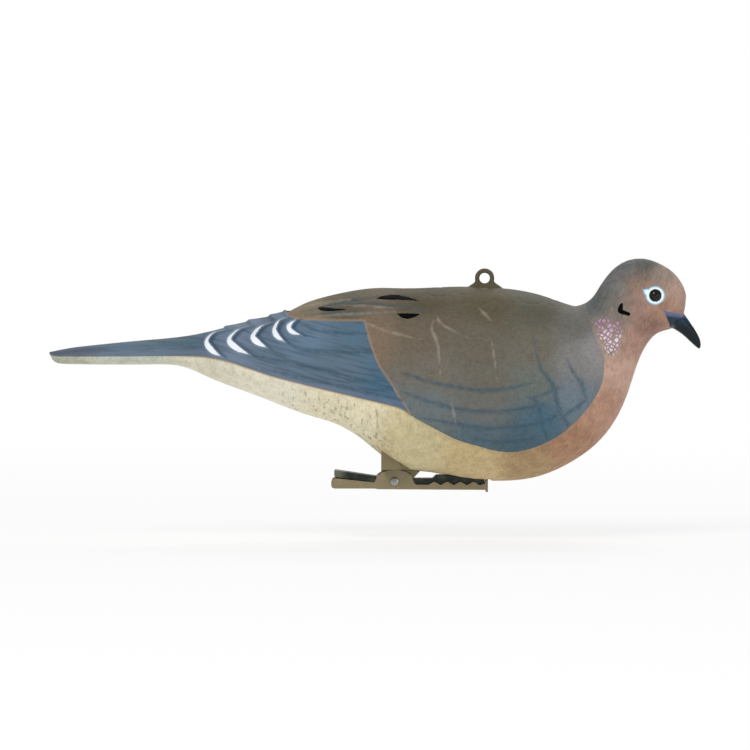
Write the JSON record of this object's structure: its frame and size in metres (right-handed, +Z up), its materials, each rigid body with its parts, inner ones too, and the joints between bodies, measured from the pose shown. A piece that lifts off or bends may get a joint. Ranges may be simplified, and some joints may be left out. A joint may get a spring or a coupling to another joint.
{
  "type": "clip-on bird decoy",
  "caption": "Hollow moulded dove decoy with glossy bead eyes, a hanging eye on its back and a sprung toothed clip under its belly.",
  "frame": {"origin": "middle of the grip between the two toothed jaws of the clip, on the seam plane", "axes": "+X from tail to bill, +Y to the bird's left, square to the seam plane and along the hanging eye, +Z up"},
  "size_m": [0.3032, 0.0761, 0.1082],
  "materials": {
    "shell": "painted, matte",
    "eye": "gloss",
    "saddle": "matte",
    "steel": "bright",
    "upper_clip": "satin",
    "lower_clip": "satin"
  },
  "bodies": {
    "decoy": {"right_shell": "shell", "left_shell": "shell", "right_eye": "eye", "left_eye": "eye", "clip_saddle": "saddle", "right_screw": "steel", "left_screw": "steel", "clip_rivet": "steel", "upper_jaw": "upper_clip", "pivot_pin": "steel", "torsion_spring": "steel"},
    "lower_jaw": {"lower_jaw": "lower_clip"}
  },
  "joints": [
    {"name": "clip_open", "type": "hinge", "parent": "decoy", "child": "lower_jaw", "pos_m": [-0.0274, 0, 0.0009], "axis": [0, 1, 0], "range_deg": [0, 9], "stiffness_Nm_per_rad": 0.25, "springref_deg": -28.65, "deforming": ["torsion_spring"]}
  ]
}
